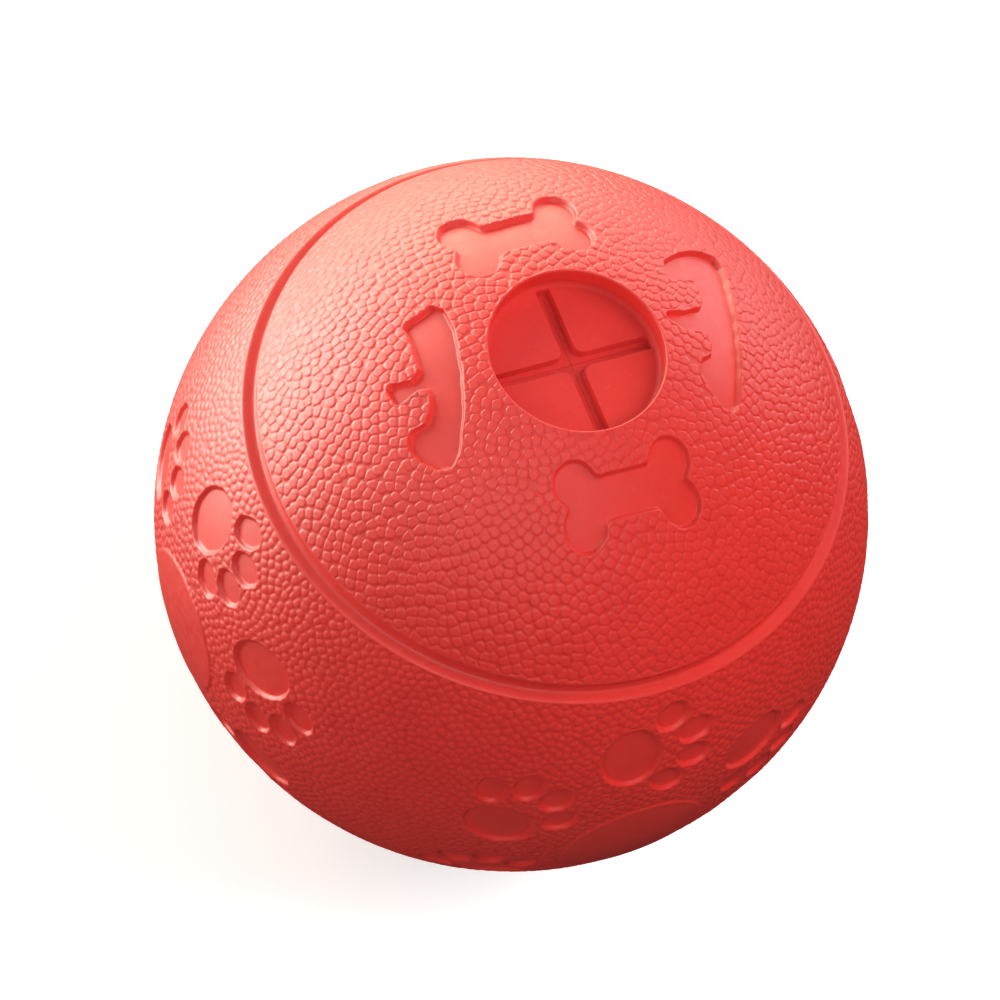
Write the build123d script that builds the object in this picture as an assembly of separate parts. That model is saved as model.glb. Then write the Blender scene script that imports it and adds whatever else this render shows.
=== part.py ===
from build123d import *
import os
from math import atan, cos, degrees, radians, sin, sqrt

# Treat dispensing ball of moulded rubber, in millimetres and degrees.
# The origin is the ball's centre and +Z leaves through the mouth.

# Ball and shells
ball_radius = 45.0
wall = 7.0
groove_angle = 56.75       # polar angle of the ring groove, measured from the mouth axis
groove_radius = 1.1        # half-round groove that hides the seam between two shells

# Mouth
mouth_radius = 11.1
mouth_depth = 3.0          # from the rim down to the valve's face
mouth_edge = 0.3           # rounding of the rim

# Valve: a plate with a cross slit at the floor of a cross groove
valve_plate = 2.2
valve_web = 1.0            # thickness left under the cross groove and at the bend of each flap
valve_lap = 3.0            # how far the plate reaches under the mouth's lip
slit_reach = 10.2          # from the mouth axis to the ends of the slit
slit_width = 0.36
cross_width = 1.7
flap_corner = 1.25         # rounding of each flap's tip
fold_out = 45.0            # the furthest that a flap bends outward
flap_names = ("east", "north", "west", "south")

# Maze inside the ball
baffle_thickness = 3.0
baffle_lap = 4.0           # how far a baffle's rim reaches into the wall
chute_bore = 8.0           # inner radius of the tube between the two upper rooms
chute_wall = 1.6
chute_drop = 12.0          # length of the tube below its baffle
chute_flange = 3.0         # width of the flange on its baffle
flange_thickness = 1.4
window_count = 4
window_radius = 7.0
window_circle = 17.5       # radius of the circle that the lower baffle's windows stand on

# Sunk artwork
artwork_depth = 0.8
paw_depth = 0.6
artwork_angle = 45.0       # from the flaps' directions to the artwork, which stands over the slit's arms
cap_artwork_circle = 18.8  # plan radius of the bones and dogs round the mouth
bone_length = 12.8         # between the centres of the lobes
bone_width = 5.1
bone_lobe = 2.7
bone_shaft = 5.2
bone_end = 1.5             # how far the shaft runs on past the lobes' centres
dog_length = 22.0          # from the ears to the rump of the smaller dog
dog_grid = 22.0            # the same length on the grid that both dogs are drawn on
dog_corner = 0.35          # rounding of the dogs' corners on that grid
dog_angle = -65.0          # from +X to the drawings' own X axis, the same for both dogs
dog_outlines = (           # two standing dogs that face -X, drawn anticlockwise from their noses
    (
        (-8.7, -5.7), (-6.4, -5.7), (-5.6, -4.9), (-6.8, -2.0), (-5.3, -1.4), (-3.3, -1.0), (-2.2, -1.5),
        (-0.9, -3.9), (-0.3, -6.2), (0.7, -6.1), (1.9, -3.7), (1.3, -0.8), (2.9, -0.2), (4.4, -0.2), (5.7, -1.7),
        (7.4, -2.0), (9.6, -0.6), (11.5, 1.1), (11.6, 2.6), (10.5, 3.3), (5.1, 3.8), (-2.0, 3.7), (-8.3, 3.1),
        (-10.8, 2.6), (-12.4, 1.8), (-12.4, 0.0), (-11.9, -1.8), (-10.8, -3.6),
    ),
    (
        (-10.2, -3.3), (-8.8, -2.7), (-4.0, -1.6), (-2.7, -2.6), (-2.7, -5.0), (-1.9, -5.3), (0.5, -4.2),
        (-1.4, -1.7), (-1.3, -0.8), (-0.3, -0.3), (1.7, -0.4), (3.0, -0.9), (3.4, -1.7), (4.0, -2.8), (6.0, -2.7),
        (7.6, -1.3), (8.9, 0.7), (8.7, 2.5), (7.1, 3.2), (2.0, 3.6), (-3.0, 3.4), (-9.0, 2.6), (-12.1, 1.5),
        (-12.9, 0.0), (-11.7, -1.5), (-10.9, -2.9),
    ),
)
field_radius = 9.2         # bare round field in the belt
field_rise = 0.1           # how far a field stands out from the ball
field_angle = 96.5         # polar angle of the fields' centres
trail_angle = 25.5         # angular distance from a field's centre to the prints that walk round it
trail_step = 60.0
trail_prints = (-2, -1, 0, 1, 2)
paw_length = 13.5
paw_grid = 13.5            # the same length on the grid that the paw is drawn on

# Clearances
bond_gap = 0.05            # round a bonded insert
hinge_gap = 0.06           # round a flap's bead
fold_gap = 0.12            # between two flaps that bend outward together
fold_margin = 6.0          # spare angle in the notch over a flap's bend

# Places that follow from the sizes above
inner_radius = ball_radius - wall
seam_z = ball_radius * cos(radians(groove_angle))
seam_radius = ball_radius * sin(radians(groove_angle))
seam_inner = sqrt(inner_radius**2 - seam_z**2)
baffle_radius = seam_inner + baffle_lap
rim_z = sqrt(ball_radius**2 - mouth_radius**2)
valve_top = rim_z - mouth_depth
ring_radius = mouth_radius + valve_lap
bead_radius = valve_web / 2
hinge_x = slit_reach / sqrt(2)
hinge_z = valve_top - valve_plate + bead_radius
flap_rise = valve_top - hinge_z
slit_inset = slit_width / 2 * sqrt(2)
cross_inset = cross_width / 2 * sqrt(2)
slit_end_radius = valve_web
beyond = 2 * ball_radius   # longer than anything that it has to cut


def half_space(z, up):
    """A block that fills everything above or below a level."""
    block_z = z + beyond / 2 if up else z - beyond / 2
    return Pos(0, 0, block_z) * Box(2 * beyond, 2 * beyond, beyond)


def hollow_ball():
    return Sphere(ball_radius) - Sphere(inner_radius)


def seam_cuts(z):
    """The groove round a seam and the rebate that takes a baffle's rim."""
    groove = Pos(0, 0, z) * Torus(seam_radius, groove_radius)
    rebate = Pos(0, 0, z) * Cylinder(baffle_radius + bond_gap, baffle_thickness)
    return groove + rebate


def sink(prisms, depth):
    """Keep only what the prisms cut out of the ball's outer skin."""
    return prisms - Sphere(ball_radius - depth)


# Artwork, drawn flat: bones and dogs in plan view, paw prints on the ball's tangent plane

def bone():
    shaft = Rectangle(bone_length + 2 * bone_end, bone_shaft)
    lobes = GridLocations(bone_length, bone_width, 2, 2) * Circle(bone_lobe)
    return shaft + lobes


def dog(outline):
    """A plain dog with its head, front leg and hind leg, rounded at the corners."""
    unit = dog_length / dog_grid
    figure = Polygon(*[(x * unit, y * unit) for x, y in outline], align=None)
    return fillet(figure.vertices(), dog_corner * unit)


def paw():
    """A paw print that walks along +X: one pad and an arc of toes."""
    unit = paw_length / paw_grid
    pad = Pos(-3.1 * unit, 0) * Ellipse(3.6 * unit, 4.3 * unit)
    toes = [
        Pos(x * unit, y * unit) * Rot(0, 0, turn) * Ellipse(2.2 * unit, 1.8 * unit)
        for x, y, turn in ((1.6, 5.0, 30), (4.6, 2.0, 10), (4.6, -2.0, -10), (1.6, -5.0, -30))
    ]
    return [pad] + toes


def on_ball(polar, azimuth, heading=0.0):
    """A plane that touches the ball, with its X axis turned clockwise from the mouth by heading."""
    tilt, turn, lean = radians(polar), radians(azimuth), radians(heading)
    normal = Vector(sin(tilt) * cos(turn), sin(tilt) * sin(turn), cos(tilt))
    towards_mouth = Vector(-cos(tilt) * cos(turn), -cos(tilt) * sin(turn), sin(tilt))
    clockwise = towards_mouth.cross(normal)
    return Plane(normal * ball_radius, towards_mouth * cos(lean) + clockwise * sin(lean), normal)


def raised_prism(sketch, plane=Plane.XY):
    """A tall prism on both sides of a tangent plane, well clear of the ball's far side."""
    return extrude(plane * sketch, amount=wall / 2, both=True)


def cap_artwork():
    """Two bones and two dogs round the mouth, drawn in plan and sunk along its axis."""
    figures = []
    for side, outline in zip((0, 180), dog_outlines):
        bone_place = Rot(0, 0, artwork_angle + 90 + side) * Pos(cap_artwork_circle, 0)
        dog_place = Rot(0, 0, artwork_angle + side) * Pos(cap_artwork_circle, 0)
        figures.append(bone_place * Rot(0, 0, 90) * bone())
        figures.append(dog_place * Rot(0, 0, dog_angle - artwork_angle - side) * dog(outline))
    prisms = [extrude(Plane.XY.offset(seam_z) * figure, amount=ball_radius) for figure in figures]
    return sink(Part() + prisms, artwork_depth)


def trail(azimuth):
    """The paw prints that walk clockwise round the bare field at an azimuth."""
    field = on_ball(field_angle, azimuth)
    prints = []
    for step in trail_prints:
        turn = radians(step * trail_step)
        aim = field.x_dir * cos(turn) + field.y_dir * -sin(turn)
        spot = field.z_dir * cos(radians(trail_angle)) + aim * sin(radians(trail_angle))
        ahead = aim.cross(spot)
        place = Plane(spot * ball_radius, ahead, spot)
        prints += [raised_prism(toe, place) for toe in paw()]
    return prints


def field_azimuths():
    return [artwork_angle + 90 * quarter for quarter in range(4)]


def belt_artwork():
    """The trails of paw prints round the bare fields."""
    prints = [prism for azimuth in field_azimuths() for prism in trail(azimuth)]
    return sink(Part() + prints, paw_depth)


def bare_fields():
    """Round fields that stand a little out from the belt."""
    discs = [raised_prism(Circle(field_radius), on_ball(field_angle, azimuth)) for azimuth in field_azimuths()]
    return (Part() + discs) & Sphere(ball_radius + field_rise)


# Shells

def mouth_cap():
    cap = hollow_ball() & half_space(seam_z, up=True)
    cap -= Cylinder(mouth_radius, beyond, align=(Align.CENTER, Align.CENTER, Align.MIN))
    rim = cap.edges().filter_by(GeomType.CIRCLE).sort_by(Axis.Z)[-1]
    cap = fillet(rim, mouth_edge)
    seat = Pos(0, 0, valve_top) * Cylinder(
        ring_radius + bond_gap, valve_top, align=(Align.CENTER, Align.CENTER, Align.MAX)
    )
    return cap - seat - seam_cuts(seam_z) - cap_artwork()


def belt_shell():
    belt = hollow_ball() & half_space(-seam_z, up=True) & half_space(seam_z, up=False)
    return belt + bare_fields() - seam_cuts(seam_z) - seam_cuts(-seam_z) - belt_artwork()


def base_cap():
    cap = hollow_ball() & half_space(-seam_z, up=False)
    return cap - seam_cuts(-seam_z) - Rot(180, 0, 0) * cap_artwork()


# Valve

def notch_angles():
    """Slopes of the notch over a bend, on the flap's side and on the ring's side."""
    flap_side = max(fold_margin, 90 - 2 * degrees(atan((cross_inset - fold_gap) / flap_rise)))
    ring_side = max(fold_margin, fold_out + fold_margin - flap_side)
    return flap_side, ring_side


def hinge_plane():
    """Side view across the east flap's bend: X leaves the mouth axis, Y is up, origin on the bend."""
    return Plane((hinge_x, 0, hinge_z), x_dir=(1, 0, 0), z_dir=(0, -1, 0))


def slit_ends():
    """Round holes that end the slit's arms and keep it from tearing on."""
    corners = GridLocations(2 * hinge_x, 2 * hinge_x, 2, 2)
    return [place * Pos(0, 0, valve_top) * Cylinder(slit_end_radius, 2 * valve_plate) for place in corners]


def valve_ring():
    ring = Pos(0, 0, valve_top) * Cylinder(
        ring_radius, valve_plate, align=(Align.CENTER, Align.CENTER, Align.MAX)
    )
    seat = bead_radius + hinge_gap
    top = 2 * flap_rise
    lean = top * sin(radians(notch_angles()[1])) / cos(radians(notch_angles()[1]))
    profile = Circle(seat) + Polygon(
        (-hinge_x, -top), (seat, -top), (seat, 0), (0, 0), (lean, top), (-hinge_x, top), align=None
    )
    window = extrude(hinge_plane() * profile, amount=hinge_x, both=True)
    for quarter in range(4):
        ring -= Rot(0, 0, 90 * quarter) * window
    return ring - slit_ends()


def flap(quarter):
    """One flap: a thin web that bends on its bead, and a thicker field above it, inside the cross groove."""
    web_edge = hinge_x - slit_inset
    web_plan = Polygon((slit_inset, 0), (hinge_x, -web_edge), (hinge_x, web_edge), align=None)
    web = extrude(Plane.XY.offset(hinge_z - bead_radius) * web_plan, amount=valve_web)
    bead = extrude(hinge_plane() * Circle(bead_radius), amount=web_edge, both=True)
    field_edge = hinge_x - cross_inset
    field_plan = Polygon((cross_inset, 0), (hinge_x, -field_edge), (hinge_x, field_edge), align=None)
    tip = field_plan.vertices().sort_by(Axis.X)[0]
    field = extrude(Plane.XY.offset(hinge_z) * fillet(tip, flap_corner), amount=flap_rise)
    lean = flap_rise * sin(radians(notch_angles()[0])) / cos(radians(notch_angles()[0]))
    notch = Polygon((0, 0), (-2 * lean, 2 * flap_rise), (hinge_x, 2 * flap_rise), (hinge_x, 0), align=None)
    field -= extrude(hinge_plane() * notch, amount=hinge_x, both=True)
    return Rot(0, 0, 90 * quarter) * (web + bead + field - slit_ends())


# Maze

def baffle(z):
    return Pos(0, 0, z) * Cylinder(baffle_radius, baffle_thickness)


def upper_baffle():
    return baffle(seam_z) - Pos(0, 0, seam_z) * Cylinder(chute_bore + chute_wall + bond_gap, beyond)


def lower_baffle():
    disc = baffle(-seam_z)
    for spot in PolarLocations(window_circle, window_count, artwork_angle):
        disc -= spot * Pos(0, 0, -seam_z) * Cylinder(window_radius, beyond)
    return disc


def treat_chute():
    top = seam_z + baffle_thickness / 2
    length = baffle_thickness + chute_drop
    outside = chute_bore + chute_wall
    downwards = (Align.CENTER, Align.CENTER, Align.MAX)
    tube = Pos(0, 0, top) * Cylinder(outside, length, align=downwards)
    flange = Pos(0, 0, top + flange_thickness) * Cylinder(outside + chute_flange, flange_thickness, align=downwards)
    return tube + flange - Pos(0, 0, top) * Cylinder(chute_bore, beyond)


parts = {
    "mouth_cap": mouth_cap(),
    "belt_shell": belt_shell(),
    "base_cap": base_cap(),
    "valve_ring": valve_ring(),
    "upper_baffle": upper_baffle(),
    "lower_baffle": lower_baffle(),
    "treat_chute": treat_chute(),
}
for quarter, name in enumerate(flap_names):
    parts[f"valve_flap_{name}"] = flap(quarter)

os.makedirs("parts", exist_ok=True)
for node, solid in parts.items():
    export_step(solid, f"parts/{node}.step")
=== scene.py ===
from math import asin, cos, pi, radians, sin, sqrt

import bpy
import numpy as np
from mathutils import Matrix, Vector
from mathutils.geometry import delaunay_2d_cdt
from mathutils.kdtree import KDTree


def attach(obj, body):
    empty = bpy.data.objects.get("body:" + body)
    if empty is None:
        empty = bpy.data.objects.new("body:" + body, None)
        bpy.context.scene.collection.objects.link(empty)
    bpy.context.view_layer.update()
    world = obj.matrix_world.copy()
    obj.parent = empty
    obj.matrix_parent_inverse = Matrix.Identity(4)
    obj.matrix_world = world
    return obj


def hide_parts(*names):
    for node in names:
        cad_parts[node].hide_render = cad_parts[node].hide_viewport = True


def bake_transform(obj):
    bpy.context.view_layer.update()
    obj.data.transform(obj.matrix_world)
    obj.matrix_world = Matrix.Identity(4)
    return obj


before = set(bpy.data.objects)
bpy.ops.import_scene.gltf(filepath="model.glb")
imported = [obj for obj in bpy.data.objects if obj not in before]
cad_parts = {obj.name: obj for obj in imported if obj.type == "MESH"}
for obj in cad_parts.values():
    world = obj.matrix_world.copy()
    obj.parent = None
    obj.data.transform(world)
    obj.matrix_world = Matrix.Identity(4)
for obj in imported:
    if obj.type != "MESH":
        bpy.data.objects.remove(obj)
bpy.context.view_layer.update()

# Treat dispensing ball of moulded rubber.
# Sizes are in millimetres and angles in degrees, as in the solids, and the meshes are in metres.
mm = 0.001

# Ball and shells
ball_radius = 45.0
wall = 7.0
groove_angle = 56.75
groove_half = 0.82         # half the width of the groove over each seam, at half its depth
groove_depth = 1.15
groove_wall = 1.25         # width that the groove's sides lean over
baffle_lap = 4.0
baffle_thickness = 3.0
bond_gap = 0.05

# Mouth
mouth_radius = 11.1
mouth_depth = 3.0
mouth_edge = 0.22

# Valve
valve_plate = 2.2
valve_lap = 3.0
plate_overlap = 0.2        # how far the flaps' plate runs in under the mouth's wall
plate_fillet = 0.7         # hollow corner between the plate and the mouth's wall
cross_width = 1.7
cross_depth = 1.0
cross_wall = 0.26          # width that the sides of the cross groove lean over
cross_edge = 0.1           # part of that width which lies outside the groove's nominal edge
arm_end = 10.4             # from the mouth axis to the end of an arm of the cross
arm_corner = 0.3           # rounding of that end's corners
slit_end = 9.9             # from the mouth axis to the end of the slit in an arm's floor
flap_corner = 1.25
slit_half = 0.02
flap_names = ("east", "north", "west", "south")

# Sunk artwork
artwork_depth = 0.8
paw_depth = 0.6
artwork_angle = 45.0
artwork_wall = 0.32        # width that the sides of the artwork lean over
artwork_edge = 0.08        # part of that width which lies outside the drawn outline
artwork_blend = 0.35       # rounding where two shapes of one figure meet
artwork_wobble = 0.025     # how far the moulded outlines stray
wobble_length = 2.2
wobble_waves = 12
wobble_seed = 7
cap_artwork_circle = 18.8
bone_length = 12.8
bone_width = 5.1
bone_lobe = 2.7
bone_shaft = 5.2
bone_end = 1.5
dog_corner = 0.55
dog_angle = -65.0          # from +X to the drawings' own X axis, the same for both dogs
dog_outlines = (           # two standing dogs that face -X, drawn anticlockwise from their noses in mm
    (
        (-8.7, -5.7), (-6.4, -5.7), (-5.6, -4.9), (-6.8, -2.0), (-5.3, -1.4), (-3.3, -1.0), (-2.2, -1.5),
        (-0.9, -3.9), (-0.3, -6.2), (0.7, -6.1), (1.9, -3.7), (1.3, -0.8), (2.9, -0.2), (4.4, -0.2),
        (5.7, -1.7), (7.4, -2.0), (9.6, -0.6), (11.5, 1.1), (11.6, 2.6), (10.5, 3.3), (5.1, 3.8),
        (-2.0, 3.7), (-8.3, 3.1), (-10.8, 2.6), (-12.4, 1.8), (-12.4, 0.0), (-11.9, -1.8), (-10.8, -3.6),
    ),
    (
        (-10.2, -3.3), (-8.8, -2.7), (-4.0, -1.6), (-2.7, -2.6), (-2.7, -5.0), (-1.9, -5.3), (0.5, -4.2),
        (-1.4, -1.7), (-1.3, -0.8), (-0.3, -0.3), (1.7, -0.4), (3.0, -0.9), (3.4, -1.7), (4.0, -2.8),
        (6.0, -2.7), (7.6, -1.3), (8.9, 0.7), (8.7, 2.5), (7.1, 3.2), (2.0, 3.6), (-3.0, 3.4),
        (-9.0, 2.6), (-12.1, 1.5), (-12.9, 0.0), (-11.7, -1.5), (-10.9, -2.9),
    ),
)
field_radius = 9.2
field_rise = 0.1           # how far a bare field stands out from the pebbles' tops
field_edge = 0.14
field_angle = 96.5
trail_angle = 25.5
trail_step = 60.0
trail_prints = (-2, -1, 0, 1, 2)
paw_shapes = (             # x, y, half length, half width and turn, for a paw that walks along +X
    (-3.1, 0.0, 3.6, 4.3, 0),
    (1.6, 5.0, 2.2, 1.8, 30),
    (4.6, 2.0, 2.2, 1.8, 10),
    (4.6, -2.0, 2.2, 1.8, -10),
    (1.6, -5.0, 2.2, 1.8, -30),
)
paw_reach = 9.0            # no part of a paw is further than this from its middle
least_share = 1e-6         # keeps a division away from zero

# Pebbled skin
cap_pitch = 1.35
belt_pitch = 1.15          # the belt's pebbles are smaller and rounder
pebble_jitter = 0.24       # of the pitch
pebble_rise = 0.13
pebble_gap = 0.015         # half the width of the floor between two pebbles
cap_shoulder = 0.18        # from a pebble's edge to its top
belt_shoulder = 0.34
pebble_reach = 0.59        # of the pitch, from a pebble's centre to where its corners are cut round
pebble_round = 0.06        # rounding of the corners between pebbles
pebble_spread = 0.15       # how much the pebbles differ in height
pebble_mean = 0.25         # share of the rise that smooth skin beside the pebbles lies below their tops
pebble_margin = 0.2        # smooth strip round the artwork
groove_margin = 1.75       # from the groove's middle to where the pebbles begin
rim_margin = 0.06
relax_rounds = 5           # of pushing the pebbles' centres apart
relax_step = 0.15
near_pebbles = 7           # a centre and the neighbours that push it
border_pebbles = 3         # neighbours whose borders shape a pebble at one point
pebble_seed = 41

# Mesh spacing
ring_points = 1600
inside_points = 400
ring_step = 0.16
fine_step = 0.08
inside_step = 1.5
edge_step = 0.06
wall_step = 0.32           # between two rings of the mouth's wall
plate_step = 0.3
flat_lines = (1, 4)        # lines on the plate beside the cross groove, in edge steps from its side
hollow_step = 0.35
hollow_turn = 15.0         # between two rings of the plate's hollow corner
plan_tolerance = 1e-5
keep_inside = 1            # the triangulation's choice for triangles inside the outline alone
sharp_angle = 60.0         # edges of a flap that turn by more than this stay sharp
floor_points = 128

# Rubber. A noise is given as repeats in a metre, detail and roughness.
mottle_noise = (160, 4, 0.5)
mottle_range = (0.3, 0.6)
mottle_share = (0.8, 1)    # of the full colour in the deep one
speck_noise = (2600, 2, 0.5)
speck_range = (0.62, 0.8)
speck_share = (0, 0.25)    # of the pale colour
sheen_noise = (900, 3, 0.5)
sheen_range = (0.3, 0.7)
sheen_loss = 0.05          # from the roughness, at the low end of that range
sheen_gain = 0.06
grain_noise = (5200, 3, 0.6)
grain_strength = 0.35
gloss_level = 1.0

# View
view_azimuth = 4.0
view_elevation = 60.2
view_roll = 22.0           # lean of the mouth axis to the right of upright
view_distance = 1350.0
lens_length = 385.9
picture_shift = (-0.0113, 0.0144)
view_end = 10              # metres
floor_radius = 0.18        # metres

# Light
white = (1, 1, 1)
warm = (1, 0.91, 0.78)
amber = (1, 0.87, 0.64)
world_light = 0.05
floor_seen = (0.95, 0.95, 0.95)
floor_unseen = (0.2, 0.2, 0.2)  # the floor's colour for the light that it throws back at the ball
floor_glow = 0.4           # lifts the floor to white where the camera sees it
floor_roughness = 0.9

# Places that follow from the sizes above
inner_radius = ball_radius - wall
seam_z = ball_radius * cos(radians(groove_angle))
seam_inner = sqrt(inner_radius**2 - seam_z**2)
rebate_radius = seam_inner + baffle_lap + bond_gap
rim_z = sqrt(ball_radius**2 - mouth_radius**2)
valve_top = rim_z - mouth_depth
valve_bottom = valve_top - valve_plate
ring_radius = mouth_radius + valve_lap
plate_radius = mouth_radius + plate_overlap
lower_groove = 180 - groove_angle
rim_angle = np.degrees(asin((mouth_radius + mouth_edge) / (ball_radius - mouth_edge)))


def smooth_step(low, high, value):
    t = np.clip((value - low) / (high - low), 0, 1)
    return t * t * (3 - 2 * t)


def smooth_least(distances, rounding):
    """Least of several distances, rounded where two are alike."""
    least = np.min(distances, axis=0)
    total = sum(np.exp((least - d) / rounding) for d in distances)
    return least - rounding * np.log(total)


def turned(x, y, degrees):
    """Coordinates in axes that are turned by an angle."""
    c, s = cos(radians(degrees)), sin(radians(degrees))
    return x * c + y * s, y * c - x * s


def spaced(first, last, step):
    """Even values from first to last, about step apart."""
    count = max(2, round(abs(last - first) / step) + 1)
    return np.linspace(first, last, count)


# Distances from the artwork's outlines, below zero inside

def corner_distance(over_x, over_y):
    """Distance from a square corner, from the distances past its two sides."""
    outside = np.hypot(np.maximum(over_x, 0), np.maximum(over_y, 0))
    return outside + np.minimum(np.maximum(over_x, over_y), 0)


def bone_distance(x, y):
    shaft = corner_distance(np.abs(x) - bone_length / 2 - bone_end, np.abs(y) - bone_shaft / 2)
    lobes = np.hypot(np.abs(x) - bone_length / 2, np.abs(y) - bone_width / 2) - bone_lobe
    return smooth_least([shaft, lobes], artwork_blend)


def inset_corners(corners, distance):
    """Corners of an anticlockwise outline whose sides all move inward."""
    sides = np.roll(corners, -1, axis=0) - corners
    inward = np.stack((-sides[:, 1], sides[:, 0]), axis=1) / np.linalg.norm(sides, axis=1, keepdims=True)
    before = np.roll(inward, 1, axis=0)
    return corners + distance * (inward + before) / (1 + np.sum(inward * before, axis=1, keepdims=True))


def dog_distance(outline, x, y):
    """Distance from a dog's outline with round corners."""
    corners = inset_corners(np.array(outline), dog_corner)
    least = np.full(len(x), np.inf)
    inside = np.zeros(len(x), dtype=bool)
    for start, stop in zip(corners, np.roll(corners, -1, axis=0)):
        side, from_x, from_y = stop - start, x - start[0], y - start[1]
        share = np.clip((from_x * side[0] + from_y * side[1]) / (side @ side), 0, 1)
        least = np.minimum(least, np.hypot(from_x - share * side[0], from_y - share * side[1]))
        level = (start[1] > y) != (stop[1] > y)
        inside ^= level & ((side[0] * from_y > side[1] * from_x) == (side[1] > 0))
    return np.where(inside, -least, least) - dog_corner


def paw_distance(x, y):
    distances = []
    for spot_x, spot_y, half_length, half_width, turn in paw_shapes:
        along, across = turned(x - spot_x, y - spot_y, turn)
        share = np.hypot(along / half_length, across / half_width) + least_share
        slope = np.hypot(along / half_length**2, across / half_width**2) + least_share
        distances.append(share * (share - 1) / slope)
    return np.min(distances, axis=0)


def cap_artwork_distance(x, y):
    """Distance in plan from the two bones and two dogs round the mouth."""
    distances = []
    for side, outline in zip((0, 180), dog_outlines):
        out, aside = turned(x, y, artwork_angle + 90 + side)
        distances.append(bone_distance(*turned(out - cap_artwork_circle, aside, 90)))
        out, aside = turned(x, y, artwork_angle + side)
        facing = dog_angle - artwork_angle - side
        distances.append(dog_distance(outline, *turned(out - cap_artwork_circle, aside, facing)))
    return np.min(distances, axis=0)


def field_axes(azimuth):
    """Outward, towards-the-mouth and leftward directions at a bare field's centre."""
    tilt, turn = radians(field_angle), radians(azimuth)
    outward = np.array((sin(tilt) * cos(turn), sin(tilt) * sin(turn), cos(tilt)))
    to_mouth = np.array((-cos(tilt) * cos(turn), -cos(tilt) * sin(turn), sin(tilt)))
    return outward, to_mouth, np.cross(outward, to_mouth)


def belt_distances(directions):
    """Distances from the paw prints and from the bare fields of the belt."""
    prints = np.full(len(directions), paw_reach)
    fields = np.full(len(directions), ball_radius)
    for quarter in range(4):
        outward, to_mouth, left = field_axes(artwork_angle + 90 * quarter)
        from_centre = ball_radius * np.hypot(directions @ to_mouth, directions @ left)
        facing = directions @ outward > 0
        fields[facing] = np.minimum(fields, from_centre - field_radius)[facing]
        for step in trail_prints:
            turn = radians(step * trail_step)
            aim = to_mouth * cos(turn) - left * sin(turn)
            spot = outward * cos(radians(trail_angle)) + aim * sin(radians(trail_angle))
            ahead = np.cross(aim, spot)
            near = directions @ spot > cos(paw_reach / ball_radius)
            offsets = ball_radius * directions[near]
            found = paw_distance(offsets @ ahead, offsets @ np.cross(spot, ahead))
            prints[near] = np.minimum(prints[near], found)
    return prints, fields


# Pebbled relief

def tree_of(points):
    tree = KDTree(len(points))
    for index, point in enumerate(points):
        tree.insert(point, index)
    tree.balance()
    return tree


def neighbours(tree, points, count):
    return np.array([[found[1] for found in tree.find_n(point, count)] for point in points])


def pebble_centres(spacing):
    """Uneven but well-spread centres over the ball: a spiral of points, shaken and pushed apart again."""
    count = round(4 * pi * ball_radius**2 / spacing**2)
    pitch = spacing / ball_radius
    steps = np.arange(count)
    z = 1 - (2 * steps + 1) / count
    turn = steps * pi * (3 - sqrt(5))
    flat = np.sqrt(1 - z**2)
    centres = np.stack((flat * np.cos(turn), flat * np.sin(turn), z), axis=1)
    centres += np.random.default_rng(pebble_seed).normal(scale=pebble_jitter * pitch, size=(count, 3))
    centres /= np.linalg.norm(centres, axis=1, keepdims=True)
    for _ in range(relax_rounds):
        others = centres[neighbours(tree_of(centres), centres, near_pebbles)[:, 1:]]
        apart = centres[:, None] - others
        distance = np.linalg.norm(apart, axis=2, keepdims=True)
        push = np.maximum(pitch / distance - 1, 0) * apart
        centres += relax_step * push.sum(axis=1)
        centres /= np.linalg.norm(centres, axis=1, keepdims=True)
    return centres


class Pebbles:
    """Pebbles over the whole ball, of one size and roundness."""

    def __init__(self, pitch, shoulder):
        self.reach = pebble_reach * pitch
        self.shoulder = shoulder
        self.centres = pebble_centres(pitch)
        self.tree = tree_of(self.centres)
        self.tops = 1 - pebble_spread * np.random.default_rng(pebble_seed + 1).random(len(self.centres))

    def height(self, directions):
        """Height of the pebbles, from 0 in the gaps to about 1 on their tops."""
        nearest = neighbours(self.tree, directions, 1 + border_pebbles)
        own = self.centres[nearest[:, 0]]
        from_own = np.sum((directions - own)**2, axis=1)
        borders = [self.reach - ball_radius * np.sqrt(from_own)]
        for rank in range(1, 1 + border_pebbles):
            other = self.centres[nearest[:, rank]]
            from_other = np.sum((directions - other)**2, axis=1)
            apart = np.linalg.norm(other - own, axis=1)
            borders.append(ball_radius * (from_other - from_own) / (2 * apart))
        border = smooth_least(borders, pebble_round)
        share = np.clip((border - pebble_gap) / (self.shoulder - pebble_gap), 0, 1)
        return (1 - (1 - share)**2) * self.tops[nearest[:, 0]]


cap_pebbles = Pebbles(cap_pitch, cap_shoulder)
belt_pebbles = Pebbles(belt_pitch, belt_shoulder)


def wobble(directions):
    """A smooth uneven value that is about 1 strong, from waves that run all ways."""
    random = np.random.default_rng(wobble_seed)
    waves = random.normal(size=(3, wobble_waves))
    waves *= 2 * pi * ball_radius / wobble_length / np.linalg.norm(waves, axis=0)
    phases = random.uniform(0, 2 * pi, wobble_waves)
    return np.sin(directions @ waves + phases).sum(axis=1) * sqrt(2 / wobble_waves)


def sunk_share(distance, width, outside):
    """Share of the full depth at a distance from an outline, over a side wall of some width."""
    return 1 - smooth_step(outside - width, outside, distance)


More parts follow.
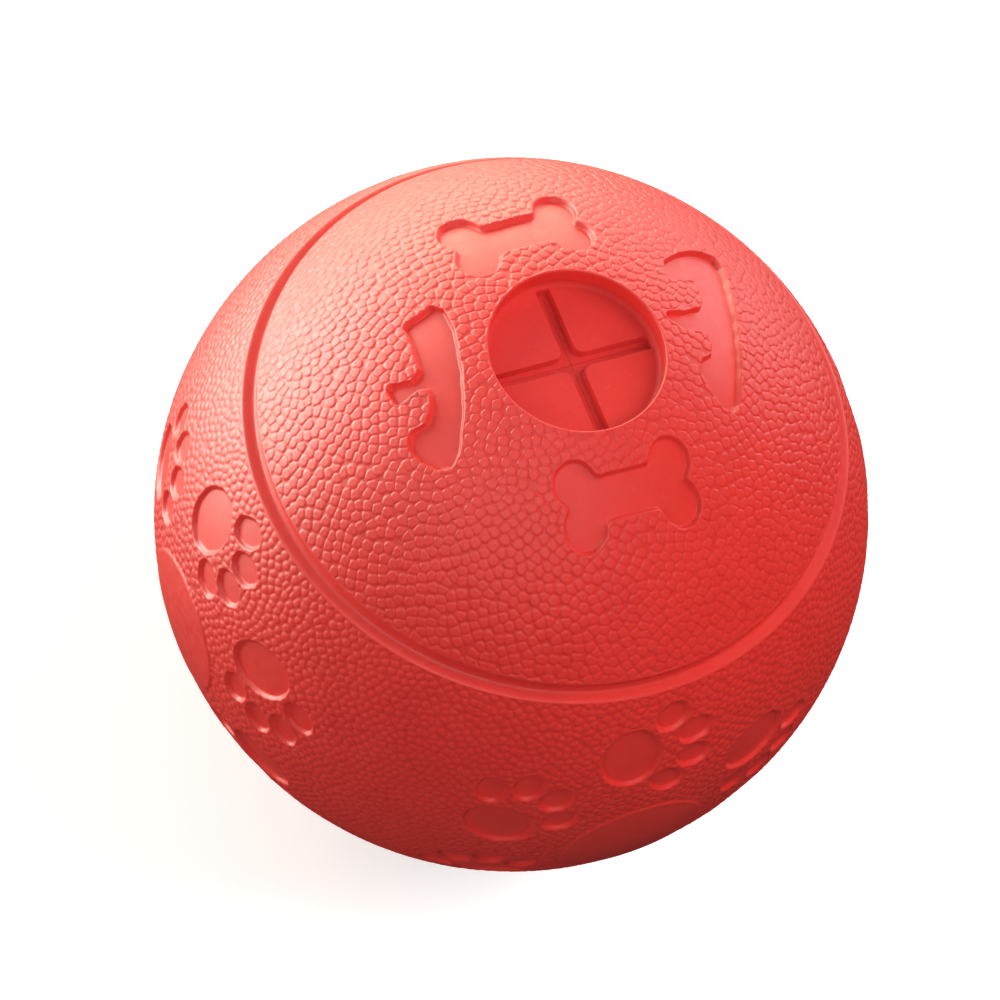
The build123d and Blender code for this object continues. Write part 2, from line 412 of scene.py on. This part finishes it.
def skin_relief(directions, pebbles, artwork, fields, depth_of_artwork):
    """Depth below the ball's surface, and how deep in a gap between pebbles each point lies, which sets the
    painted shade there.
    """
    polar = np.degrees(np.arccos(np.clip(directions[:, 2], -1, 1)))
    from_groove = np.minimum(np.abs(polar - groove_angle), np.abs(polar - lower_groove))
    from_groove = ball_radius * np.radians(from_groove)
    from_rim = ball_radius * np.radians(polar - rim_angle)
    rim_fade = smooth_step(0, rim_margin, from_rim)
    cover = smooth_step(artwork_edge, artwork_edge + pebble_margin, artwork)
    cover *= smooth_step(-field_edge, field_edge, fields)
    cover *= smooth_step(groove_half + groove_wall / 2, groove_margin, from_groove)
    low = 1 - pebbles.height(directions)
    proud = sunk_share(fields, 2 * field_edge, field_edge)
    depth = pebble_rise * rim_fade * (cover * low + (1 - cover) * (1 - proud) * pebble_mean)
    depth += depth_of_artwork * sunk_share(artwork, artwork_wall, artwork_edge)
    depth -= field_rise * proud
    depth += groove_depth * sunk_share(from_groove, groove_wall, groove_half + groove_wall / 2)
    return depth, cover * rim_fade * low**2


# Meshes

def new_piece(name, points, polygons):
    """A smooth mesh from points in millimetres and arrays of polygons with equal numbers of corners."""
    corners = np.concatenate([array.ravel() for array in polygons]).astype(np.int32)
    sizes = np.concatenate([np.full(len(array), array.shape[1]) for array in polygons])
    starts = np.concatenate(([0], np.cumsum(sizes)[:-1])).astype(np.int32)
    mesh = bpy.data.meshes.new(name)
    mesh.vertices.add(len(points))
    mesh.vertices.foreach_set("co", (points * mm).astype(np.float32).ravel())
    mesh.loops.add(len(corners))
    mesh.loops.foreach_set("vertex_index", corners)
    mesh.polygons.add(len(starts))
    mesh.polygons.foreach_set("loop_start", starts)
    mesh.update(calc_edges=True)
    mesh.shade_smooth()
    piece = bpy.data.objects.new(name, mesh)
    bpy.context.scene.collection.objects.link(piece)
    return piece


def add_point_values(piece, name, values):
    attribute = piece.data.attributes.new(name, "FLOAT", "POINT")
    attribute.data.foreach_set("value", values.astype(np.float32))


def stitch(upper, lower):
    """Polygons between two rings of points: corners as pairs of a ring, 0 or 1, and a place on it."""
    if upper == lower:
        k = np.arange(upper)
        return [((0, k), (1, k), (1, k + 1), (0, k + 1))]
    if lower == 1:
        k = np.arange(upper)
        return [((0, k), (1, 0 * k), (0, k + 1))]
    if upper == 1:
        k = np.arange(lower)
        return [((0, 0 * k), (1, k), (1, k + 1))]
    if upper > lower:
        k = np.arange(lower)
        return [
            ((0, 2 * k), (1, k), (0, 2 * k + 1)),
            ((0, 2 * k + 1), (1, k), (1, k + 1)),
            ((0, 2 * k + 1), (1, k + 1), (0, 2 * k + 2)),
        ]
    k = np.arange(upper)
    return [
        ((0, k), (1, 2 * k), (1, 2 * k + 1)),
        ((0, k), (1, 2 * k + 1), (0, k + 1)),
        ((0, k + 1), (1, 2 * k + 1), (1, 2 * k + 2)),
    ]


def turn_profile(name, profile, closed):
    """Turn a profile of (radius, z, points on the ring) round the mouth axis, unrolled for its texture."""
    counts = [count for _, _, count in profile]
    starts = np.concatenate(([0], np.cumsum(counts)))
    points = np.empty((starts[-1], 3))
    for start, (radius, z, count) in zip(starts, profile):
        angles = 2 * pi * np.arange(count) / count
        ring = np.stack((radius * np.cos(angles), radius * np.sin(angles), np.full(count, z)), axis=1)
        points[start:start + count] = ring
    places = np.array([(radius, z) for radius, z, _ in profile])
    lengths = np.linalg.norm(np.roll(places, -1, axis=0) - places, axis=1)
    heights = np.concatenate(([0], np.cumsum(lengths))) / lengths.sum()
    polygons, textures = {3: [], 4: []}, {3: [], 4: []}
    for row in range(len(profile) if closed else len(profile) - 1):
        following = (row + 1) % len(profile)
        rings = (row, following)
        for corners in stitch(counts[row], counts[following]):
            indices = [starts[rings[side]] + place % counts[rings[side]] for side, place in corners]
            across = [place / counts[rings[side]] for side, place in corners]
            along = [np.full(len(place), heights[row + side]) for side, place in corners]
            polygons[len(corners)].append(np.stack(indices, axis=1))
            unrolled = (np.stack(across, axis=1), np.stack(along, axis=1))
            textures[len(corners)].append(np.stack(unrolled, axis=2))
    used = [size for size in polygons if polygons[size]]
    piece = new_piece(name, points, [np.concatenate(polygons[size]) for size in used])
    layer = piece.data.uv_layers.new(name="OFBake")
    flat = np.concatenate([np.concatenate(textures[size]).ravel() for size in used])
    layer.data.foreach_set("uv", flat.astype(np.float32))
    return piece, points


def circle_points(radius, angles, count):
    """Profile points on a circle round the ball's centre."""
    return [(radius * sin(radians(angle)), radius * cos(radians(angle)), count) for angle in angles]


def angle_step(length, radius):
    return np.degrees(length / radius)


def skin_angles(first, last, fine_first, fine_last):
    """Polar angles of the outer rings, closer together at an end that lies in a groove."""
    fine = angle_step(groove_margin, ball_radius)
    start = first + fine if fine_first else first
    stop = last - fine if fine_last else last
    angles = [spaced(start, stop, angle_step(ring_step, ball_radius))]
    if fine_first:
        angles.insert(0, spaced(first, start, angle_step(fine_step, ball_radius))[:-1])
    if fine_last:
        angles.append(spaced(stop, last, angle_step(fine_step, ball_radius))[1:])
    return np.concatenate(angles)


def emboss(piece, points, outer, pebbles, artwork_of, depth_of_artwork):
    """Press the pebbles, grooves and artwork into the outer rings of a skin."""
    directions = points[outer] / np.linalg.norm(points[outer], axis=1, keepdims=True)
    artwork, fields = artwork_of(directions)
    artwork = artwork + artwork_wobble * wobble(directions)
    depth, gaps = skin_relief(directions, pebbles, artwork, fields, depth_of_artwork)
    points[outer] = directions * (ball_radius - depth)[:, None]
    piece.data.vertices.foreach_set("co", (points * mm).astype(np.float32).ravel())
    piece.data.update()
    # The gaps' depths become the 'gap' values: painted shade in the rubber's colour.
    values = np.zeros(len(points))
    values[outer] = gaps
    add_point_values(piece, "gap", values)


def cap_relief(directions):
    plan = ball_radius * directions[:, :2]
    return cap_artwork_distance(plan[:, 0], plan[:, 1]), np.full(len(directions), ball_radius)


def base_relief(directions):
    plan = ball_radius * directions[:, :2]
    return cap_artwork_distance(plan[:, 0], -plan[:, 1]), np.full(len(directions), ball_radius)


# Shells

def seam_rings(side, into):
    """From a groove's floor to the wall's inside, on the mouth's side (into 1) or the base's (into -1)."""
    ledge = side * seam_z + into * baffle_thickness / 2
    inside = sqrt(inner_radius**2 - ledge**2)
    return [
        (rebate_radius, side * seam_z, ring_points // 2),
        (rebate_radius, ledge, inside_points),
        (inside, ledge, inside_points),
    ]


def rim_rings():
    """The mouth's wall and its rounded rim, from the plate's seat upwards."""
    pocket = ring_radius + bond_gap
    centre_r = mouth_radius + mouth_edge
    centre_z = sqrt((ball_radius - mouth_edge)**2 - centre_r**2)
    rings = [
        (pocket, sqrt(inner_radius**2 - pocket**2), inside_points),
        (pocket, valve_top, inside_points),
        ((pocket + mouth_radius) / 2, valve_top, ring_points // 2),
    ]
    rings += [(mouth_radius, z, ring_points) for z in spaced(valve_top, centre_z, wall_step)[:-1]]
    for angle in spaced(180, 90 - rim_angle, angle_step(edge_step, mouth_edge))[:-1]:
        edge_r = centre_r + mouth_edge * cos(radians(angle))
        edge_z = centre_z + mouth_edge * sin(radians(angle))
        rings.append((edge_r, edge_z, ring_points))
    return rings


def inner_angles(low_z, high_z):
    """Polar angles of the wall's inside between two levels, without the ends."""
    first, last = (np.degrees(np.arccos(z / inner_radius)) for z in (low_z, high_z))
    return spaced(first, last, angle_step(inside_step, inner_radius))[1:-1]


def mouth_cap_skin():
    outer = circle_points(ball_radius, skin_angles(rim_angle, groove_angle, False, True), ring_points)
    top_z = sqrt(inner_radius**2 - (ring_radius + bond_gap)**2)
    angles = inner_angles(seam_z + baffle_thickness / 2, top_z)
    inside = circle_points(inner_radius, angles, inside_points)
    profile = outer + seam_rings(1, 1) + inside + rim_rings()
    piece, points = turn_profile("mouth_cap_skin", profile, closed=True)
    emboss(piece, points, slice(0, len(outer) * ring_points), cap_pebbles, cap_relief, artwork_depth)
    return piece


def belt_skin():
    outer = circle_points(ball_radius, skin_angles(groove_angle, lower_groove, True, True), ring_points)
    level = seam_z - baffle_thickness / 2
    inside = circle_points(inner_radius, inner_angles(-level, level), inside_points)
    profile = outer + seam_rings(-1, 1) + inside + seam_rings(1, -1)[::-1]
    piece, points = turn_profile("belt_skin", profile, closed=True)
    emboss(piece, points, slice(0, len(outer) * ring_points), belt_pebbles, belt_distances, paw_depth)
    return piece


def base_skin():
    """The far cap, whose rings have fewer points towards the pole."""
    angles = inner_angles(-inner_radius, -seam_z - baffle_thickness / 2)
    inside = circle_points(inner_radius, angles, inside_points)
    profile = [(0, -inner_radius, 1)] + inside + seam_rings(-1, -1)[::-1]
    first = sum(count for _, _, count in profile)
    count = ring_points
    for angle in skin_angles(lower_groove, 180, True, False)[:-1]:
        ring = circle_points(ball_radius, [angle], count)[0]
        if 2 * pi * ring[0] / count < ring_step / 2 and count % 2 == 0:
            count //= 2
        profile.append((ring[0], ring[1], count))
    profile.append((0, -ball_radius, 1))
    piece, points = turn_profile("base_skin", profile, closed=False)
    emboss(piece, points, slice(first, None), cap_pebbles, base_relief, artwork_depth)
    return piece


# Valve

def arm_distance(along, across):
    over_end = along - arm_end + arm_corner
    over_side = across - cross_width / 2 + arm_corner
    return corner_distance(over_end, over_side) - arm_corner


def cross_distance(a, b):
    """Distance from the cross groove's edge in one quarter, between the arms along a and along b."""
    arm, other_arm = arm_distance(a, b), arm_distance(b, a)
    corner = np.hypot(np.maximum(flap_corner - arm, 0), np.maximum(flap_corner - other_arm, 0))
    return np.maximum(flap_corner, np.minimum(arm, other_arm)) - corner


def arc(centre, radius, first, last, step):
    angles = np.radians(spaced(first, last, angle_step(step, radius)))
    return [(centre[0] + radius * cos(t), centre[1] + radius * sin(t)) for t in angles]


def line(start, stop, step):
    """Points from start towards stop, without the last."""
    length = np.hypot(stop[0] - start[0], stop[1] - start[1])
    shares = spaced(0, 1, step / length)[:-1]
    return [(start[0] + t * (stop[0] - start[0]), start[1] + t * (stop[1] - start[1])) for t in shares]


def mirrored(path):
    """A path that runs to the quarter's middle, carried on to its mirror image on the other arm."""
    return path + [(b, a) for a, b in reversed(path)]


def cross_contour(offset):
    """A line at an even distance from the cross groove's edge, through one quarter."""
    half, end, rounding = cross_width / 2 + offset, arm_end + offset, arm_corner + offset
    corner = cross_width / 2 + flap_corner
    path = line((end, 0), (end, half - rounding), plate_step)
    path += arc((end - rounding, half - rounding), rounding, 0, 90, edge_step)
    path += line((end - rounding, half), (corner, half), plate_step)[1:]
    path += arc((corner, corner), flap_corner - offset, 270, 225, cross_wall / 2)[:-1]
    return mirrored(path)


def quarter_outline():
    path = line((plate_radius, 0), (slit_end + slit_half, 0), plate_step)
    path += arc((slit_end, 0), slit_half, 0, 90, slit_half)
    path += line((slit_end, slit_half), (slit_half, slit_half), plate_step)[1:]
    outline = path + [(slit_half, slit_half)] + [(b, a) for a, b in reversed(path)]
    return outline + arc((0, 0), plate_radius, 90, 0, plate_step)[1:-1]


def hollow_radii():
    """Radii of the rings on the hollow corner at the mouth's wall, closer together where it steepens."""
    return mouth_radius - plate_fillet * (1 - np.sin(np.radians(spaced(0, 90, hollow_turn))))


def quarter_fill():
    """Evenly spread points on the flat of a flap."""
    rows = np.arange(0, plate_radius, plate_step * sqrt(3) / 2)
    columns = np.arange(0, plate_radius, plate_step)
    fill = [(a + plate_step / 2 * (row % 2), b) for row, b in enumerate(rows) for a in columns]
    a, b = np.array(fill).T
    flat_radius = mouth_radius - plate_fillet - plate_step / 2
    keep = (cross_distance(a, b) > plate_step) & (np.hypot(a, b) < flat_radius)
    return list(zip(a[keep], b[keep]))


def quarter_plan():
    """Points and triangles of one quarter of the plate, with lines along the groove's sides."""
    outline = quarter_outline()
    points = list(outline)
    edges = [(k, (k + 1) % len(outline)) for k in range(len(outline))]
    sides = spaced(cross_edge - cross_wall, cross_edge, edge_step)
    flats = cross_edge + edge_step * np.array(flat_lines)
    contours = [cross_contour(offset) for offset in np.concatenate((sides, flats))]
    contours += [arc((0, 0), radius, 0, 90, hollow_step) for radius in hollow_radii()]
    for contour in contours:
        first = len(points)
        points += contour
        edges += [(first + k, first + k + 1) for k in range(len(contour) - 1)]
    points += quarter_fill()
    loops = [list(range(len(outline)))]
    plan = delaunay_2d_cdt([Vector(p) for p in points], edges, loops, keep_inside, plan_tolerance)
    return np.array([tuple(p) for p in plan[0]]), np.array(plan[2])


def plate_height(a, b):
    """Level of the plate's face: hollow at the mouth's wall and sunk along the cross."""
    inward = np.clip((np.hypot(a, b) - mouth_radius + plate_fillet) / plate_fillet, 0, 1)
    hollow = plate_fillet * (1 - np.sqrt(1 - inward**2))
    return valve_top + hollow - cross_depth * sunk_share(cross_distance(a, b), cross_wall, cross_edge)


def border_edges(triangles):
    """Edges that belong to one triangle only, in that triangle's order."""
    edges = np.concatenate([triangles[:, (k, (k + 1) % 3)] for k in range(3)])
    ordered = np.sort(edges, axis=1)
    _, inverse, counts = np.unique(ordered, axis=0, return_inverse=True, return_counts=True)
    return edges[counts[inverse.ravel()] == 1]


def flap_skin(quarter):
    """A flap with the part of the plate that it bends from, a quarter of the valve's face."""
    name = flap_names[quarter]
    plan, triangles = quarter_plan()
    a, b = plan.T
    out, aside = turned(a, b, artwork_angle)
    x, y = turned(out, aside, -90 * quarter)
    top = np.stack((x, y, plate_height(a, b)), axis=1)
    under = np.stack((x, y, np.full(len(x), valve_bottom)), axis=1)
    border = border_edges(triangles)
    sides = np.stack((border[:, 1], border[:, 0], border[:, 0] + len(x), border[:, 1] + len(x)), axis=1)
    faces = [np.concatenate((triangles, triangles[:, ::-1] + len(x))), sides]
    piece = new_piece(f"valve_flap_skin_{name}", np.concatenate((top, under)), faces)
    piece.data.set_sharp_from_angle(angle=radians(sharp_angle))
    # The cross groove's sunk share becomes the 'gap' values: painted shade on the groove's floor and sides,
    # none underneath.
    sunk = sunk_share(cross_distance(a, b), cross_wall, cross_edge)
    add_point_values(piece, "gap", np.concatenate((sunk, np.zeros(len(x)))))
    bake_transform(piece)
    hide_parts(f"valve_flap_{name}")
    return piece


def valve_ring_skin():
    """The plate's rim, bonded under the lip of the mouth."""
    lip = edge_step
    corners = (
        (plate_radius, valve_bottom), (plate_radius, valve_top - lip), (plate_radius + lip, valve_top),
        (ring_radius - lip, valve_top), (ring_radius, valve_top - lip), (ring_radius, valve_bottom),
    )
    profile = [(radius, z, inside_points) for radius, z in corners[::-1]]
    return turn_profile("valve_ring_skin", profile, closed=True)[0]


# Materials

def new_node(tree, kind, **values):
    """A node with some of its input sockets set."""
    node = tree.nodes.new(kind)
    for socket, value in values.items():
        node.inputs[socket.replace("_", " ")].default_value = value
    return node


def noise(tree, place, scale, detail, roughness):
    node = new_node(tree, "ShaderNodeTexNoise", Scale=scale, Detail=detail, Roughness=roughness)
    tree.links.new(place, node.inputs["Vector"])
    return node.outputs["Fac"]


def ranged(tree, value, low, high, to_low, to_high):
    limits = {"From_Min": low, "From_Max": high, "To_Min": to_low, "To_Max": to_high}
    node = new_node(tree, "ShaderNodeMapRange", **limits)
    tree.links.new(value, node.inputs["Value"])
    return node.outputs["Result"]


def mixed(tree, share, first, second):
    node = tree.nodes.new("ShaderNodeMix")
    node.data_type = "RGBA"
    tree.links.new(share, node.inputs["Factor"])
    for socket, colour in (("A", first), ("B", second)):
        target = next(s for s in node.inputs if s.name == socket and s.type == "RGBA")
        if isinstance(colour, tuple):
            target.default_value = (*colour, 1)
        else:
            tree.links.new(colour, target)
    return next(s for s in node.outputs if s.type == "RGBA")


def rubber(name, colour, mottle_and_shade_colour, pale_colour, gap_shade, roughness, refraction, grain):
    """Matt moulded rubber: mottled colour, pale dust specks, painted shade in the gaps and grooves, uneven
    sheen and a fine grain.
    """
    material = bpy.data.materials.new(name)
    material.use_nodes = True
    tree = material.node_tree
    shader = tree.nodes["Principled BSDF"]
    place = tree.nodes.new("ShaderNodeTexCoord").outputs["Object"]
    mottle = ranged(tree, noise(tree, place, *mottle_noise), *mottle_range, *mottle_share)
    tint = mixed(tree, mottle, mottle_and_shade_colour, colour)
    speck = ranged(tree, noise(tree, place, *speck_noise), *speck_range, *speck_share)
    tint = mixed(tree, speck, tint, pale_colour)
    # Painted shade: the 'gap' values pull the colour towards the deep one in the pebbles' gaps and the
    # valve's cross groove.
    gap = tree.nodes.new("ShaderNodeAttribute")
    gap.attribute_name = "gap"
    gap_shade_share = ranged(tree, gap.outputs["Fac"], 0, 1, 0, gap_shade)
    tint = mixed(tree, gap_shade_share, tint, mottle_and_shade_colour)
    tree.links.new(tint, shader.inputs["Base Color"])
    sheen_ends = (roughness - sheen_loss, roughness + sheen_gain)
    sheen = ranged(tree, noise(tree, place, *sheen_noise), *sheen_range, *sheen_ends)
    tree.links.new(sheen, shader.inputs["Roughness"])
    shader.inputs["IOR"].default_value = refraction
    shader.inputs["Specular IOR Level"].default_value = gloss_level
    bump = new_node(tree, "ShaderNodeBump", Strength=grain_strength, Distance=grain * mm)
    tree.links.new(noise(tree, place, *grain_noise), bump.inputs["Height"])
    tree.links.new(bump.outputs["Normal"], shader.inputs["Normal"])
    return material


def dress(piece, material):
    piece.data.materials.clear()
    piece.data.materials.append(material)


# Stage

def camera_axes():
    """Right, up and backward directions of the view, with the mouth axis leaning by the view's roll."""
    turn, lift, roll = radians(view_azimuth), radians(view_elevation), radians(view_roll)
    back = Vector((sin(turn) * cos(lift), -cos(turn) * cos(lift), sin(lift)))
    lean = (Vector((0, 0, 1)) - back * back.z).normalized()
    side = lean.cross(back)
    return lean * sin(roll) + side * cos(roll), lean * cos(roll) - side * sin(roll), back


def add_camera():
    right, up, back = camera_axes()
    data = bpy.data.cameras.new("camera")
    data.lens = lens_length
    data.shift_x, data.shift_y = picture_shift
    data.clip_end = view_end
    camera = bpy.data.objects.new("camera", data)
    turn = Matrix((right, up, back)).transposed().to_4x4()
    camera.matrix_world = Matrix.Translation(back * view_distance * mm) @ turn
    bpy.context.scene.collection.objects.link(camera)
    bpy.context.scene.camera = camera


def add_lamp(name, towards, distance, size, power, colour=white, shows_in_gloss=True):
    """A square soft box that faces the ball, placed along the view's right, up and backward directions."""
    right, up, back = camera_axes()
    x, y, z = towards
    direction = (right * x + up * y + back * z).normalized()
    data = bpy.data.lights.new(name, "AREA")
    data.size = size
    data.energy = power
    data.color = colour
    data.cycles.use_multiple_importance_sampling = shows_in_gloss
    lamp = bpy.data.objects.new(name, data)
    lamp.location = direction * distance
    lamp.visible_camera = False
    lamp.visible_glossy = shows_in_gloss
    lamp.rotation_euler = direction.to_track_quat("Z", "Y").to_euler()
    bpy.context.scene.collection.objects.link(lamp)


def add_world(strength):
    """A faint even light on the ball, which the camera sees as white."""
    world = bpy.data.worlds.new("studio")
    world.use_nodes = True
    tree = world.node_tree
    background = tree.nodes["Background"]
    background.inputs["Color"].default_value = (*white, 1)
    seen = tree.nodes.new("ShaderNodeLightPath").outputs["Is Camera Ray"]
    tree.links.new(ranged(tree, seen, 0, 1, strength, 1), background.inputs["Strength"])
    bpy.context.scene.world = world
    world.cycles_visibility.glossy = False


def add_floor():
    """A pale floor that shows as white, keeps the shadow and throws little light back at the ball."""
    under_ball = (0, 0, -ball_radius * mm)
    bpy.ops.mesh.primitive_circle_add(vertices=floor_points, radius=floor_radius, fill_type="NGON",
                                      location=under_ball)
    floor = bpy.context.object
    floor.name = "floor"
    floor.visible_glossy = False
    material = bpy.data.materials.new("floor_paint")
    material.use_nodes = True
    tree = material.node_tree
    shader = tree.nodes["Principled BSDF"]
    shader.inputs["Roughness"].default_value = floor_roughness
    shader.inputs["Specular IOR Level"].default_value = 0.0
    seen = tree.nodes.new("ShaderNodeLightPath").outputs["Is Camera Ray"]
    tree.links.new(mixed(tree, seen, floor_unseen, floor_seen), shader.inputs["Base Color"])
    shader.inputs["Emission Color"].default_value = (*white, 1)
    tree.links.new(ranged(tree, seen, 0, 1, 0, floor_glow), shader.inputs["Emission Strength"])
    dress(floor, material)


# Assembly

# Each rubber's gap setting is how far painted shade darkens its gaps and grooves towards the deep colour.
shell_rubber = rubber(
    "shell_rubber",
    colour=(0.78, 0.032, 0.024), mottle_and_shade_colour=(0.56, 0.015, 0.011), pale_colour=(0.9, 0.2, 0.15),
    gap_shade=0.3, roughness=0.5, refraction=1.85, grain=0.03,
)
valve_rubber = rubber(
    "valve_rubber",
    colour=(0.68, 0.034, 0.03), mottle_and_shade_colour=(0.42, 0.016, 0.012), pale_colour=(0.8, 0.17, 0.13),
    gap_shade=0.1, roughness=0.6, refraction=1.45, grain=0.02,
)
maze_rubber = rubber(
    "maze_rubber",
    colour=(0.5, 0.02, 0.016), mottle_and_shade_colour=(0.36, 0.01, 0.008), pale_colour=(0.7, 0.12, 0.1),
    gap_shade=0.5, roughness=0.6, refraction=1.4, grain=0.02,
)

shells = (mouth_cap_skin(), belt_skin(), base_skin())
for shell, node in zip(shells, ("mouth_cap", "belt_shell", "base_cap")):
    dress(shell, shell_rubber)
    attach(shell, "ball")
    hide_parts(node)

for quarter in range(4):
    flap = flap_skin(quarter)
    dress(flap, valve_rubber)

ring = valve_ring_skin()
dress(ring, valve_rubber)
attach(ring, "ball")
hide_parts("valve_ring")

for node in ("upper_baffle", "lower_baffle", "treat_chute"):
    dress(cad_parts[node], maze_rubber)

add_camera()
add_floor()
add_world(world_light)
add_lamp("key", (-0.8, 0.6, 0.0), distance=1.0, size=0.8, power=10.5, colour=warm)
add_lamp("back_left", (-0.93, 0.3, -0.2), distance=1.0, size=0.8, power=4.5, colour=warm)
add_lamp("back_top", (-0.2, 0.88, -0.39), distance=1.0, size=0.8, power=8.5, colour=amber)
add_lamp("back_right", (0.63, 0.73, -0.28), distance=1.0, size=0.8, power=2.9)
add_lamp("fill_right", (0.76, 0.39, 0.52), distance=1.2, size=1.0, power=15.0, shows_in_gloss=False)
add_lamp("fill_low", (-0.38, -0.4, 0.83), distance=1.2, size=1.0, power=8.0, shows_in_gloss=False)
add_lamp("front", (0.05, 0.1, 0.99), distance=1.2, size=1.0, power=1.8)

bpy.context.scene.view_settings.view_transform = "Standard"
